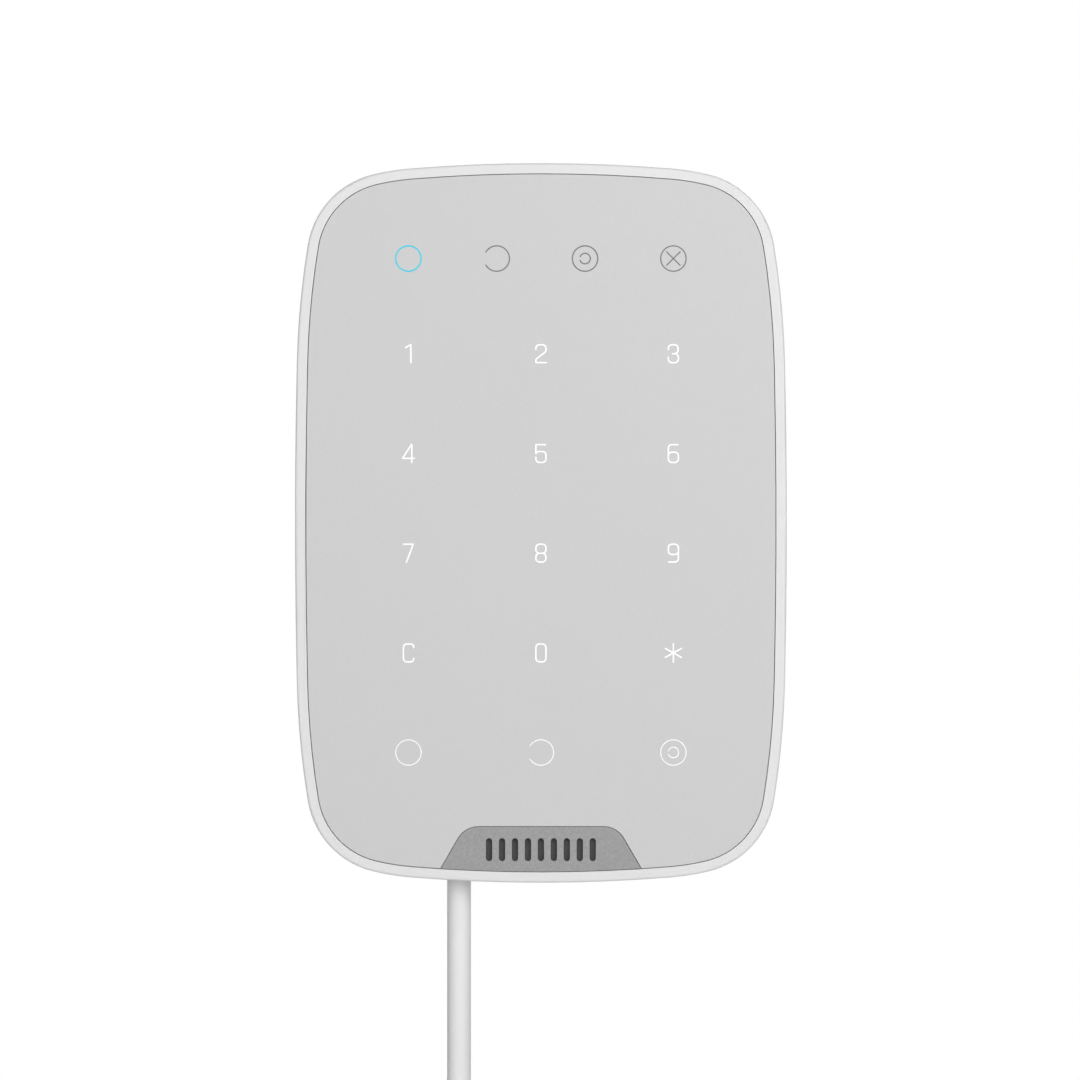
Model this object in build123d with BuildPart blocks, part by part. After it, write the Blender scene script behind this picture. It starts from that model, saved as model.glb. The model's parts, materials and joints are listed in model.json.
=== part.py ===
from build123d import *
import os
from math import cos, pi, radians, sin, tan

# Alarm keypad panel on its wall bracket, in millimetres.
# X is right, Z is up and the wall is the plane Y = 0.
# The front faces -Y, and every depth below is the distance from the wall towards the front.
# The origin is the centre of the bracket's four wall screws, on the wall plane.

os.makedirs("parts", exist_ok=True)


def at_depth(depth):
    """The plane parallel to the wall at this depth. Its normal points to the front."""
    return Plane.XZ.offset(depth)


def save(piece, name):
    piece.part.label = name
    export_step(piece.part, f"parts/{name}.step")


# ---------------------------------------------------------------- driving dimensions

WIDTH = 102.5
HEIGHT = 150.0
DEPTH = 14.0

# Each quarter of the outline is five tangent arcs, from the middle of a side to the middle of the top.
OUTLINE_TURNS = [1.28, 8.01, 67.04, 8.99, 4.68]
SHOULDER_RADIUS = 178.2
CORNER_RADIUS = 18.1
BROW_RADIUS = 50.0

RIM = 2.19
PANEL_GAP = 0.14
PANEL_FRONT = 13.85
PANEL_BACK = 12.85
CASE_WALL = 1.8
CASE_REAR = 0.8
CASE_EDGE_ROUND = 0.55
FLANGE_FRONT = 12.70
FLANGE_BACK = 11.80
WINDOW_WIDTH = 83.0
WINDOW_LOW = -60.0
WINDOW_HIGH = 66.0
WINDOW_CORNER = 8.0

BOARD_FRONT = 9.70
BOARD_BACK = 8.50
BOARD_INSET = 2.6
COVER_FRONT = 4.1
COVER_BACK = 2.5
COVER_INSET = CASE_WALL + 0.15
BRACKET_FRONT = 1.8

KEY_PITCH_X = 27.6
KEY_ROWS = [35.25, 14.45, -6.3, -27.1]
KEY_SYMBOLS = ["123", "456", "789", "C0*"]
FUNCTION_Z = -47.85
STATUS_Z = 55.07
STATUS_PITCH = 18.4
LEGEND_DEPTH = 0.25
LEGEND_PROUD = 0.02
LEGEND_CLEARANCE = 0.02
PEN = 0.33
RING_PEN = 0.22
RING_RADIUS = 2.65
INNER_RING_RADIUS = 1.10

CABLE_X = -17.2
CABLE_DEPTH = 3.4
CABLE_RADIUS = 2.5

SLIDE = 8.0
PLUNGER_RATIO = 0.125

columns = [-KEY_PITCH_X, 0, KEY_PITCH_X]
key_places = [(x, z) for z in KEY_ROWS for x in columns]
function_places = [(x, FUNCTION_Z) for x in columns]
status_places = [((i - 1.5) * STATUS_PITCH, STATUS_Z) for i in range(4)]

# ---------------------------------------------------------------- outline of the case


def side_and_top_radii():
    """The first and last arc radii that close a quarter of the outline on the stated width and height."""
    known = [None, SHOULDER_RADIUS, CORNER_RADIUS, BROW_RADIUS, None]
    reach_x = WIDTH / 2
    reach_z = HEIGHT / 2
    steps = []
    angle = 0
    for turn, radius in zip(OUTLINE_TURNS, known):
        a = radians(angle)
        b = radians(angle + turn)
        step = (cos(a) - cos(b), sin(b) - sin(a))
        steps.append(step)
        if radius:
            reach_x -= radius * step[0]
            reach_z -= radius * step[1]
        angle += turn
    (side_x, side_z), (top_x, top_z) = steps[0], steps[-1]
    spread = side_x * top_z - side_z * top_x
    side = (reach_x * top_z - reach_z * top_x) / spread
    top = (side_x * reach_z - side_z * reach_x) / spread
    return side, top


side_radius, top_radius = side_and_top_radii()
outline_radii = [side_radius, SHOULDER_RADIUS, CORNER_RADIUS, BROW_RADIUS, top_radius]
print("outline radii", [round(radius, 1) for radius in outline_radii])


def outline(inset=0):
    """A face of the case's outline, or of one parallel to it inside, added to the open sketch."""
    arcs = []
    centre = Vector(WIDTH / 2 - side_radius, 0)
    angle = 0
    for number, (turn, radius) in enumerate(zip(OUTLINE_TURNS, outline_radii)):
        if number:
            shift = outline_radii[number - 1] - radius
            centre += Vector(shift * cos(radians(angle)), shift * sin(radians(angle)))
        arcs.append((centre, radius - inset, angle, turn))
        angle += turn
    with BuildLine() as border:
        for middle, radius, start, turn in arcs:
            right, left = (middle.X, middle.Y), (-middle.X, middle.Y)
            low_left, low_right = (-middle.X, -middle.Y), (middle.X, -middle.Y)
            CenterArc(right, radius, start, turn)
            CenterArc(left, radius, 180 - start - turn, turn)
            CenterArc(low_left, radius, 180 + start, turn)
            CenterArc(low_right, radius, 360 - start - turn, turn)
    make_face(border.edges())


def box_between(x, depth, z, mode=Mode.ADD):
    """A block between two x values, two depths and two heights."""
    with Locations(((x[0] + x[1]) / 2, -(depth[0] + depth[1]) / 2, (z[0] + z[1]) / 2)):
        Box(x[1] - x[0], depth[1] - depth[0], z[1] - z[0], mode=mode)


def post(x, z, radius, back, front, mode=Mode.ADD):
    """A round post or hole square to the wall, between two depths."""
    with BuildSketch(at_depth(back)) as disc:
        with Locations((x, z)):
            Circle(radius)
    extrude(disc.sketch, amount=front - back, mode=mode)


# ---------------------------------------------------------------- legends, drawn with a round pen

HALF_W = 1.05
HALF_H = 1.86
BEND = 0.75


def stroke(pen, points, bend=None):
    """One pen stroke through the points, with its corners bent to the given radius."""
    with BuildLine() as path:
        if bend:
            FilletPolyline(*points, radius=bend)
        else:
            Polyline(*points)
        offset(amount=pen / 2)
    make_face(path.edges())


def loop(pen, height, middle):
    """A closed rounded rectangle of the figures' width."""
    with Locations((0, middle)):
        RectangleRounded(2 * HALF_W + pen, height + pen, BEND + pen / 2)
        RectangleRounded(2 * HALF_W - pen, height - pen, BEND - pen / 2, mode=Mode.SUBTRACT)


def ring(pen, radius, gap=0):
    """A ring, open at its left by the gap's half angle."""
    if gap:
        with BuildLine() as path:
            CenterArc((0, 0), radius, 180 + gap, 360 - 2 * gap)
            offset(amount=pen / 2)
        make_face(path.edges())
    else:
        Circle(radius + pen / 2)
        Circle(radius - pen / 2, mode=Mode.SUBTRACT)


def figure_six(pen, turn):
    """A six, or a nine when turned half round."""
    bar = 0.28
    loop(pen, HALF_H + bar, turn * (bar - HALF_H) / 2)
    points = [(0.95, HALF_H), (-HALF_W, HALF_H), (-HALF_W, -0.8)]
    stroke(pen, [(turn * x, turn * z) for x, z in points], BEND)


def draw_symbol(symbol, pen):
    """Adds one legend to the open sketch at its origin."""
    if symbol == "1":
        stroke(pen, [(-0.6, 1.28), (0.5, 1.9), (0.5, -HALF_H)])
    elif symbol == "2":
        top = [(-HALF_W, 0.85), (-HALF_W, HALF_H), (HALF_W, HALF_H), (HALF_W, 0.45)]
        foot = [(-HALF_W, -1.15), (-HALF_W, -HALF_H), (HALF_W + 0.05, -HALF_H)]
        stroke(pen, top + foot, [BEND, BEND, 0.5, 0.4, 0.05])
    elif symbol == "3":
        waist = (-0.15, 0.0)
        stroke(pen, [(-HALF_W, 0.85), (-HALF_W, HALF_H), (0.98, HALF_H), (0.98, 0.0), waist], BEND)
        stroke(pen, [(-HALF_W, -0.75), (-HALF_W, -HALF_H), (HALF_W, -HALF_H), (HALF_W, 0.0), waist], BEND)
    elif symbol == "4":
        stroke(pen, [(0.7, -1.85), (0.7, 1.88)])
        stroke(pen, [(0.62, 1.88), (-1.22, -1.0), (1.25, -1.0)])
    elif symbol == "5":
        stroke(pen, [(0.98, HALF_H), (-HALF_W, HALF_H), (-HALF_W, 0.08)])
        bowl = [(-0.98, 0.0), (-0.75, 0.42), (HALF_W, 0.42), (HALF_W, -HALF_H), (-HALF_W, -HALF_H)]
        stroke(pen, bowl + [(-HALF_W, -0.8)], [0.45, BEND, BEND, BEND])
    elif symbol == "6":
        figure_six(pen, 1)
    elif symbol == "7":
        stroke(pen, [(-HALF_W, HALF_H), (1.0, HALF_H), (-0.42, -1.9)])
    elif symbol == "8":
        waist = -0.04
        loop(pen, HALF_H - waist, (HALF_H + waist) / 2)
        with BuildSketch(mode=Mode.PRIVATE) as lower:
            loop(pen, HALF_H + waist, (waist - HALF_H) / 2)
        add(lower.sketch)
    elif symbol == "9":
        figure_six(pen, -1)
    elif symbol == "C":
        arm = [(1.1, 1.1), (HALF_W, HALF_H), (-HALF_W, HALF_H)]
        stroke(pen, arm[:3] + [(x, -z) for x, z in arm[2::-1]], [0.6, BEND, BEND, 0.6])
    elif symbol == "0":
        loop(pen, 2 * HALF_H, 0)
    elif symbol == "*":
        for angle in (90, 29, -29):
            arm = (1.93 * cos(radians(angle)), 1.93 * sin(radians(angle)))
            stroke(pen, [(-arm[0], -arm[1]), arm])
    elif symbol == "ring":
        ring(pen, RING_RADIUS)
    elif symbol == "open ring":
        ring(pen, RING_RADIUS, 31)
    elif symbol == "double ring":
        ring(pen, RING_RADIUS)
        ring(pen, INNER_RING_RADIUS, 20)
    elif symbol == "crossed ring":
        ring(pen, RING_RADIUS)
        stroke(pen, [(-1.4, -1.4), (1.4, 1.4)])
        stroke(pen, [(-1.4, 1.4), (1.4, -1.4)])


def legends(symbols, places, pen):
    """Adds one symbol at each place to the open sketch."""
    for symbol, (x, z) in zip(symbols, places):
        with BuildSketch(mode=Mode.PRIVATE) as one:
            draw_symbol(symbol, pen)
        with Locations((x, z)):
            add(one.sketch)


key_symbols = [symbol for row in KEY_SYMBOLS for symbol in row]
FUNCTION_SYMBOLS = ["ring", "open ring", "double ring"]
STATUS_SYMBOLS = ["ring", "open ring", "double ring", "crossed ring"]
INLAY_BACK = PANEL_FRONT - LEGEND_DEPTH + LEGEND_CLEARANCE
INLAY_THICKNESS = LEGEND_DEPTH - LEGEND_CLEARANCE + LEGEND_PROUD


def inlays(name, symbols, places, pen):
    """The moulded legends that lie in the panel's pockets, a hair proud of its face."""
    with BuildPart() as piece:
        with BuildSketch(at_depth(INLAY_BACK)):
            legends(symbols, places, pen)
        extrude(amount=INLAY_THICKNESS)
    save(piece, name)


# ---------------------------------------------------------------- front case

SCREW_COLUMNS = [(x, z) for x in (-42.5, 42.5) for z in (-60.0, 60.0)]
BOARD_BOSSES = [(x, z) for x in (-45.3, 45.3) for z in (-32.0, 32.0)]
COLUMN_RADIUS = 2.7
COVER_SCREW_RADIUS = 1.0
COVER_SCREW_END = 8.6
SCREW_HOLE_SPARE = 0.4
BOSS_RADIUS = 2.35
BOARD_SCREW_RADIUS = 0.95
BOARD_SCREW_END = 11.1
SCREW_FIT = 0.05

CABLE_GAP = 0.3
LOCK_X = 20.0
LOCK_DEPTH = 4.9
NOTCH_HALF = 8.5
NOTCH_FRONT = 7.6
SOUND_PORT = (25.0, 6.6)
SOUND_PORT_CORNER = 1.5
SOUND_Z = -68.1
CUT_BELOW = 1.0
CUT_ABOVE = 4.0

with BuildPart() as front_case:
    with BuildSketch(at_depth(CASE_REAR)):
        outline()
    extrude(amount=DEPTH - CASE_REAR)
    fillet(front_case.faces().sort_by(Axis.Y)[0].edges(), CASE_EDGE_ROUND)
    # the recess for the panel
    with BuildSketch(at_depth(FLANGE_FRONT)):
        outline(RIM)
    extrude(amount=DEPTH, mode=Mode.SUBTRACT)
    # the hollow behind the flange
    with BuildSketch(at_depth(0)):
        outline(CASE_WALL)
    extrude(amount=FLANGE_BACK, mode=Mode.SUBTRACT)
    # the window that the legends shine through
    with BuildSketch(at_depth(FLANGE_BACK)):
        with Locations((0, (WINDOW_HIGH + WINDOW_LOW) / 2)):
            RectangleRounded(WINDOW_WIDTH, WINDOW_HIGH - WINDOW_LOW, WINDOW_CORNER)
    extrude(amount=FLANGE_FRONT - FLANGE_BACK, mode=Mode.SUBTRACT)
    # the sound port behind the badge
    with BuildSketch(at_depth(FLANGE_BACK)):
        with Locations((0, SOUND_Z)):
            RectangleRounded(*SOUND_PORT, SOUND_PORT_CORNER)
    extrude(amount=FLANGE_FRONT - FLANGE_BACK, mode=Mode.SUBTRACT)
    column_hole_end = COVER_SCREW_END + SCREW_HOLE_SPARE
    for x, z in SCREW_COLUMNS:
        post(x, z, COLUMN_RADIUS, COVER_FRONT, FLANGE_BACK)
        post(x, z, COVER_SCREW_RADIUS + SCREW_FIT, COVER_FRONT, column_hole_end, Mode.SUBTRACT)
    boss_hole_end = BOARD_SCREW_END + SCREW_HOLE_SPARE
    for x, z in BOARD_BOSSES:
        post(x, z, BOSS_RADIUS, BOARD_FRONT, FLANGE_BACK)
        post(x, z, BOARD_SCREW_RADIUS + SCREW_FIT, BOARD_FRONT, boss_hole_end, Mode.SUBTRACT)
    # the mouth for the cable in the bottom wall, open to the wall side
    mouth = CABLE_RADIUS + CABLE_GAP
    bottom_wall = (-HEIGHT / 2 - CUT_BELOW, -HEIGHT / 2 + CUT_ABOVE)
    box_between((CABLE_X - mouth, CABLE_X + mouth), (0, CABLE_DEPTH), bottom_wall, Mode.SUBTRACT)
    with BuildSketch(Plane.XY.offset(bottom_wall[0])):
        with Locations((CABLE_X, -CABLE_DEPTH)):
            Circle(mouth)
    extrude(amount=CUT_BELOW + CUT_ABOVE, mode=Mode.SUBTRACT)
    # the notch for the bracket's tongue and the locking screw
    notch = (LOCK_X - NOTCH_HALF, LOCK_X + NOTCH_HALF)
    box_between(notch, (0, NOTCH_FRONT), bottom_wall, Mode.SUBTRACT)
save(front_case, "front_case")

# ---------------------------------------------------------------- face panel, legends and badge

BADGE_TOP = -63.2
BADGE_HALF_TOP = 15.9
BADGE_SLOPE = 0.58
BADGE_CORNER = 5.0
BADGE_GAP = 0.12
SLOT_COUNT = 9
SLOT_PITCH = 2.7
SLOT_WIDTH = 1.3
SLOT_HEIGHT = 4.8
PANEL_EDGE_ROUND = 0.1
ADHESIVE_INSET = 0.8
ADHESIVE_MARGIN = 0.5


def badge_shape(inset, mode=Mode.ADD):
    """The trapezoid at the bottom edge, its upper corners rounded, in the open sketch."""
    top = BADGE_TOP - inset
    foot = -HEIGHT / 2
    half_top = BADGE_HALF_TOP - inset
    half_foot = half_top + BADGE_SLOPE * (top - foot)
    corners = [(-half_foot, foot), (-half_top, top), (half_top, top), (half_foot, foot)]
    with BuildLine() as border:
        FilletPolyline(*corners, radius=BADGE_CORNER - inset)
        Line(corners[-1], corners[0])
    make_face(border.edges(), mode=mode)


with BuildPart() as face_panel:
    with BuildSketch(at_depth(PANEL_BACK)):
        outline(RIM + PANEL_GAP)
    extrude(amount=PANEL_FRONT - PANEL_BACK)
    fillet(face_panel.faces().sort_by(Axis.Y)[0].edges(), PANEL_EDGE_ROUND)
    with BuildSketch(at_depth(PANEL_BACK)):
        badge_shape(0)
    extrude(amount=DEPTH - PANEL_BACK, mode=Mode.SUBTRACT)
    with BuildSketch(at_depth(PANEL_FRONT - LEGEND_DEPTH)):
        legends(key_symbols, key_places, PEN + 2 * LEGEND_CLEARANCE)
        legends(FUNCTION_SYMBOLS, function_places, RING_PEN + 2 * LEGEND_CLEARANCE)
        legends(STATUS_SYMBOLS, status_places, RING_PEN + 2 * LEGEND_CLEARANCE)
    extrude(amount=DEPTH - PANEL_FRONT + LEGEND_DEPTH, mode=Mode.SUBTRACT)
save(face_panel, "face_panel")

inlays("key_legends", key_symbols, key_places, PEN)
inlays("function_legends", FUNCTION_SYMBOLS, function_places, RING_PEN)
inlays("armed_status_ring", STATUS_SYMBOLS[:1], status_places[:1], RING_PEN)
inlays("status_symbols", STATUS_SYMBOLS[1:], status_places[1:], RING_PEN)

with BuildPart() as panel_adhesive:
    with BuildSketch(at_depth(FLANGE_FRONT)):
        outline(RIM + PANEL_GAP + ADHESIVE_INSET)
        with Locations((0, (WINDOW_HIGH + WINDOW_LOW) / 2)):
            RectangleRounded(
                WINDOW_WIDTH + 2 * ADHESIVE_MARGIN,
                WINDOW_HIGH - WINDOW_LOW + 2 * ADHESIVE_MARGIN,
                WINDOW_CORNER,
                mode=Mode.SUBTRACT,
            )
        badge_shape(-ADHESIVE_MARGIN, Mode.SUBTRACT)
    extrude(amount=PANEL_BACK - FLANGE_FRONT)
save(panel_adhesive, "panel_adhesive")

MESH_BACK = 12.25
MESH_FRONT = 12.60
MESH_FIT = 0.05

with BuildPart() as badge_plate:
    with BuildSketch(at_depth(FLANGE_FRONT)):
        outline(RIM + PANEL_GAP)
        badge_shape(BADGE_GAP, Mode.INTERSECT)
        with Locations((0, SOUND_Z)):
            with GridLocations(SLOT_PITCH, 1, SLOT_COUNT, 1):
                SlotOverall(SLOT_HEIGHT, SLOT_WIDTH, rotation=90, mode=Mode.SUBTRACT)
    extrude(amount=PANEL_FRONT - FLANGE_FRONT)
save(badge_plate, "badge_plate")

with BuildPart() as sounder_mesh:
    with BuildSketch(at_depth(MESH_BACK)):
        with Locations((0, SOUND_Z)):
            mesh_width = SOUND_PORT[0] - 2 * MESH_FIT
            mesh_height = SOUND_PORT[1] - 2 * MESH_FIT
            RectangleRounded(mesh_width, mesh_height, SOUND_PORT_CORNER - MESH_FIT)
    extrude(amount=MESH_FRONT - MESH_BACK)
save(sounder_mesh, "sounder_mesh")

# ---------------------------------------------------------------- light path

DIFFUSER_BACK = 11.95
DIFFUSER_FRONT = 12.8
DIFFUSER_INSET = 0.25
SHROUD_HALF = 39.0
SHROUD_LOW = -56.0
SHROUD_HIGH = 64.0
SHROUD_CORNER = 6.0
WELL_RADIUS = 6.2
SHROUD_GAP = 0.1

with BuildPart() as light_diffuser:
    with BuildSketch(at_depth(DIFFUSER_BACK)):
        with Locations((0, (WINDOW_HIGH + WINDOW_LOW) / 2)):
            RectangleRounded(
                WINDOW_WIDTH - 2 * DIFFUSER_INSET,
                WINDOW_HIGH - WINDOW_LOW - 2 * DIFFUSER_INSET,
                WINDOW_CORNER - DIFFUSER_INSET,
            )
    extrude(amount=DIFFUSER_FRONT - DIFFUSER_BACK)
save(light_diffuser, "light_diffuser")

with BuildPart() as light_shroud:
    with BuildSketch(at_depth(BOARD_FRONT + SHROUD_GAP)):
        with Locations((0, (SHROUD_HIGH + SHROUD_LOW) / 2)):
            RectangleRounded(2 * SHROUD_HALF, SHROUD_HIGH - SHROUD_LOW, SHROUD_CORNER)
        with Locations(*key_places, *function_places, *status_places):
            Circle(WELL_RADIUS, mode=Mode.SUBTRACT)
    extrude(amount=FLANGE_BACK - BOARD_FRONT - 2 * SHROUD_GAP)
save(light_shroud, "light_shroud")

# ---------------------------------------------------------------- main board and what it carries

BOARD_SLOT_FIT = 0.5
BOARD_SLOT_REACH = 10.0
BOARD_HOLE_FIT = 0.15

with BuildPart() as main_board:
    with BuildSketch(at_depth(BOARD_BACK)):
        outline(BOARD_INSET)
        with Locations(*SCREW_COLUMNS):
            Circle(COLUMN_RADIUS + BOARD_SLOT_FIT, mode=Mode.SUBTRACT)
        for x, z in SCREW_COLUMNS:
            side = 1 if x > 0 else -1
            with Locations((x + side * BOARD_SLOT_REACH / 2, z)):
                Rectangle(BOARD_SLOT_REACH, 2 * (COLUMN_RADIUS + BOARD_SLOT_FIT), mode=Mode.SUBTRACT)
        with Locations(*BOARD_BOSSES):
            Circle(BOARD_SCREW_RADIUS + BOARD_HOLE_FIT, mode=Mode.SUBTRACT)
    extrude(amount=BOARD_FRONT - BOARD_BACK)
save(main_board, "main_board")

LED_SIZE = (1.6, 0.8, 0.7)
LED_EDGE_ROUND = 0.12


def surface_leds(name, places):
    """Small surface-mount lamps on the front of the board, each with a domed-off top edge."""
    with BuildPart() as piece:
        with BuildSketch(at_depth(BOARD_FRONT)):
            with Locations(*places):
                Rectangle(LED_SIZE[0], LED_SIZE[1])
        extrude(amount=LED_SIZE[2])
        fillet(piece.faces().group_by(Axis.Y)[0].edges(), LED_EDGE_ROUND)
    save(piece, name)


surface_leds("key_leds", key_places + function_places)
surface_leds("status_leds", status_places)

ELECTRODE_RADII = (2.2, 4.8)
ELECTRODE_THICKNESS = 0.1

with BuildPart() as touch_electrodes:
    with BuildSketch(at_depth(BOARD_FRONT)):
        with Locations(*key_places, *function_places):
            Circle(ELECTRODE_RADII[1])
            Circle(ELECTRODE_RADII[0], mode=Mode.SUBTRACT)
    extrude(amount=ELECTRODE_THICKNESS)
save(touch_electrodes, "touch_electrodes")

SOUNDER_SIZE = (12.0, 9.0)
SOUNDER_CORNER = 0.8
SOUNDER_HEIGHT = 1.9
SOUNDER_Z = -65.9
SOUNDER_HOLE_Z = -67.5
SOUNDER_HOLE_RADIUS = 0.8
SOUNDER_HOLE_DEPTH = 0.9

with BuildPart() as sounder:
    sounder_front = BOARD_FRONT + SOUNDER_HEIGHT
    with BuildSketch(at_depth(BOARD_FRONT)):
        with Locations((0, SOUNDER_Z)):
            RectangleRounded(*SOUNDER_SIZE, SOUNDER_CORNER)
    extrude(amount=SOUNDER_HEIGHT)
    fillet(sounder.faces().sort_by(Axis.Y)[0].edges(), 0.3)
    hole_floor = sounder_front - SOUNDER_HOLE_DEPTH
    post(0, SOUNDER_HOLE_Z, SOUNDER_HOLE_RADIUS, hole_floor, sounder_front, Mode.SUBTRACT)
save(sounder, "sounder")


LEAD_WIDTH = 0.3
LEAD_REACH = 0.9
LEAD_HEIGHT = 0.4
LEAD_PITCH = 0.8
CHIP_STANDOFF = 0.15
CHIP_CHAMFER = 0.2


def chips(name, places, side, height, leads):
    """Square chips on the back of the board, each with a row of leads on all four sides."""
    with BuildPart() as piece:
        with BuildSketch(at_depth(BOARD_BACK - CHIP_STANDOFF)):
            with Locations(*places):
                Rectangle(side, side)
        extrude(amount=CHIP_STANDOFF - height)
        chamfer(piece.faces().group_by(Axis.Y)[-1].edges(), CHIP_CHAMFER)
        with BuildSketch(at_depth(BOARD_BACK)):
            with Locations(*places):
                with GridLocations(LEAD_PITCH, 1, leads, 1):
                    Rectangle(LEAD_WIDTH, side + 2 * LEAD_REACH)
                with GridLocations(1, LEAD_PITCH, 1, leads):
                    Rectangle(side + 2 * LEAD_REACH, LEAD_WIDTH)
        extrude(amount=-LEAD_HEIGHT)
    save(piece, name)


chips("processor_chip", [(-16, 30)], side=10, height=1.6, leads=12)
chips("touch_controllers", [(20, 48), (-16, 4)], side=7, height=1.3, leads=8)

# Each capacitor: x, z, half width of its base, height.
CAPACITORS = [(-2, 48, 3.1, 3.6), (6, 48, 2.5, 3.6), (36, -52, 2.5, 2.6)]
CAPACITOR_BASE = 0.6
CAN_TO_BASE = 0.94

with BuildPart() as capacitors:
    for x, z, half, height in CAPACITORS:
        box_between((x - half, x + half), (BOARD_BACK - CAPACITOR_BASE, BOARD_BACK), (z - half, z + half))
        post(x, z, CAN_TO_BASE * half, BOARD_BACK - height, BOARD_BACK - CAPACITOR_BASE / 2)
save(capacitors, "capacitors")

INDUCTOR = (-34, 52)
INDUCTOR_SIDE = 8.0
INDUCTOR_HEIGHT = 3.2

with BuildPart() as inductor:
    with BuildSketch(at_depth(BOARD_BACK)):
        with Locations(INDUCTOR):
            RectangleRounded(INDUCTOR_SIDE, INDUCTOR_SIDE, INDUCTOR_SIDE / 4)
    extrude(amount=-INDUCTOR_HEIGHT)
    fillet(inductor.faces().sort_by(Axis.Y)[-1].edges(), 0.4)
save(inductor, "inductor")

RECESS_WIDTH = 0.5
RECESS_TO_HEAD = 1.2
RECESS_DEPTH_SHARE = 0.6


def cross_head_screws(name, places, head_back, head_front, head_radius, shank_radius, tip):
    """Screws driven from the wall side: a round head with a cross recess, and a plain shank."""
    with BuildPart() as piece:
        for x, z in places:
            post(x, z, head_radius, head_back, head_front)
        fillet(piece.faces().group_by(Axis.Y)[-1].edges(), 0.25)
        with BuildSketch(at_depth(head_back)):
            with Locations(*places):
                Rectangle(head_radius * RECESS_TO_HEAD, RECESS_WIDTH)
                Rectangle(RECESS_WIDTH, head_radius * RECESS_TO_HEAD)
        extrude(amount=(head_front - head_back) * RECESS_DEPTH_SHARE, mode=Mode.SUBTRACT)
        for x, z in places:
            post(x, z, shank_radius, head_front - 0.01, tip)
    save(piece, name)


cross_head_screws(
    "board_screws",
    BOARD_BOSSES,
    head_back=7.3,
    head_front=BOARD_BACK,
    head_radius=1.8,
    shank_radius=BOARD_SCREW_RADIUS,
    tip=BOARD_SCREW_END,
)

# ---------------------------------------------------------------- bus terminal block

BLOCK_X = (-25.0, -5.0)
BLOCK_Z = (-46.5, -34.0)
BLOCK_REAR = 2.6
WAYS = [-22.5, -17.5, -12.5, -7.5]
ENTRY_DEPTH = 5.0
ENTRY_RADIUS = 1.1
ENTRY_LENGTH = 4.5
CLAMP_Z = -38.5
CLAMP_RADIUS = 1.6
CLAMP_WELL_DEPTH = 1.6
CLAMP_SINK = 0.3
CLAMP_THICKNESS = 1.2
CLAMP_FIT = 0.1
CLAMP_SLOT = (0.5, 0.6)
BLOCK_CHAMFER = 0.8

with BuildPart() as terminal_block:
    box_between(BLOCK_X, (BLOCK_REAR, BOARD_BACK), BLOCK_Z)
    rear_edges = terminal_block.faces().sort_by(Axis.Y)[-1].edges()
    chamfer(rear_edges.filter_by(Axis.X), BLOCK_CHAMFER)
    with BuildSketch(Plane.XY.offset(BLOCK_Z[0])):
        with Locations(*[(x, -ENTRY_DEPTH) for x in WAYS]):
            Circle(ENTRY_RADIUS)
    extrude(amount=ENTRY_LENGTH, mode=Mode.SUBTRACT)
    for x in WAYS:
        post(x, CLAMP_Z, CLAMP_RADIUS, BLOCK_REAR, BLOCK_REAR + CLAMP_WELL_DEPTH, Mode.SUBTRACT)
save(terminal_block, "terminal_block")

clamp_places = [(x, CLAMP_Z) for x in WAYS]
with BuildPart() as terminal_screws:
    for x, z in clamp_places:
        clamp_rear = BLOCK_REAR + CLAMP_SINK
        post(x, z, CLAMP_RADIUS - CLAMP_FIT, clamp_rear, clamp_rear + CLAMP_THICKNESS)
    with BuildSketch(at_depth(clamp_rear)):
        with Locations(*clamp_places):
            Rectangle(2 * CLAMP_RADIUS, CLAMP_SLOT[0], rotation=20)
    extrude(amount=CLAMP_SLOT[1], mode=Mode.SUBTRACT)
save(terminal_screws, "terminal_screws")

# ---------------------------------------------------------------- tamper switch

TAMPER = (7.0, 11.5)
PLUNGER_RADIUS = 1.2
TIP_DEPTH = 2.95
COLLAR = (6.7, 7.2)
COLLAR_RADIUS = 2.0
TAIL_END = 7.9
TAIL_RADIUS = 0.6
SWITCH_FLOOR = 8.2
SWITCH_LID = (5.0, 5.6)
SWITCH_SIDE = 7.4

with BuildPart() as tamper_switch:
    with BuildSketch(at_depth(SWITCH_LID[0])):
        with Locations(TAMPER):
            RectangleRounded(SWITCH_SIDE, SWITCH_SIDE, 0.6)
    extrude(amount=BOARD_BACK - SWITCH_LID[0])
    post(*TAMPER, COLLAR_RADIUS + 0.3, SWITCH_LID[1], SWITCH_FLOOR, Mode.SUBTRACT)
    post(*TAMPER, PLUNGER_RADIUS + SCREW_FIT, SWITCH_LID[0], SWITCH_LID[1], Mode.SUBTRACT)
save(tamper_switch, "tamper_switch")

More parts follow.
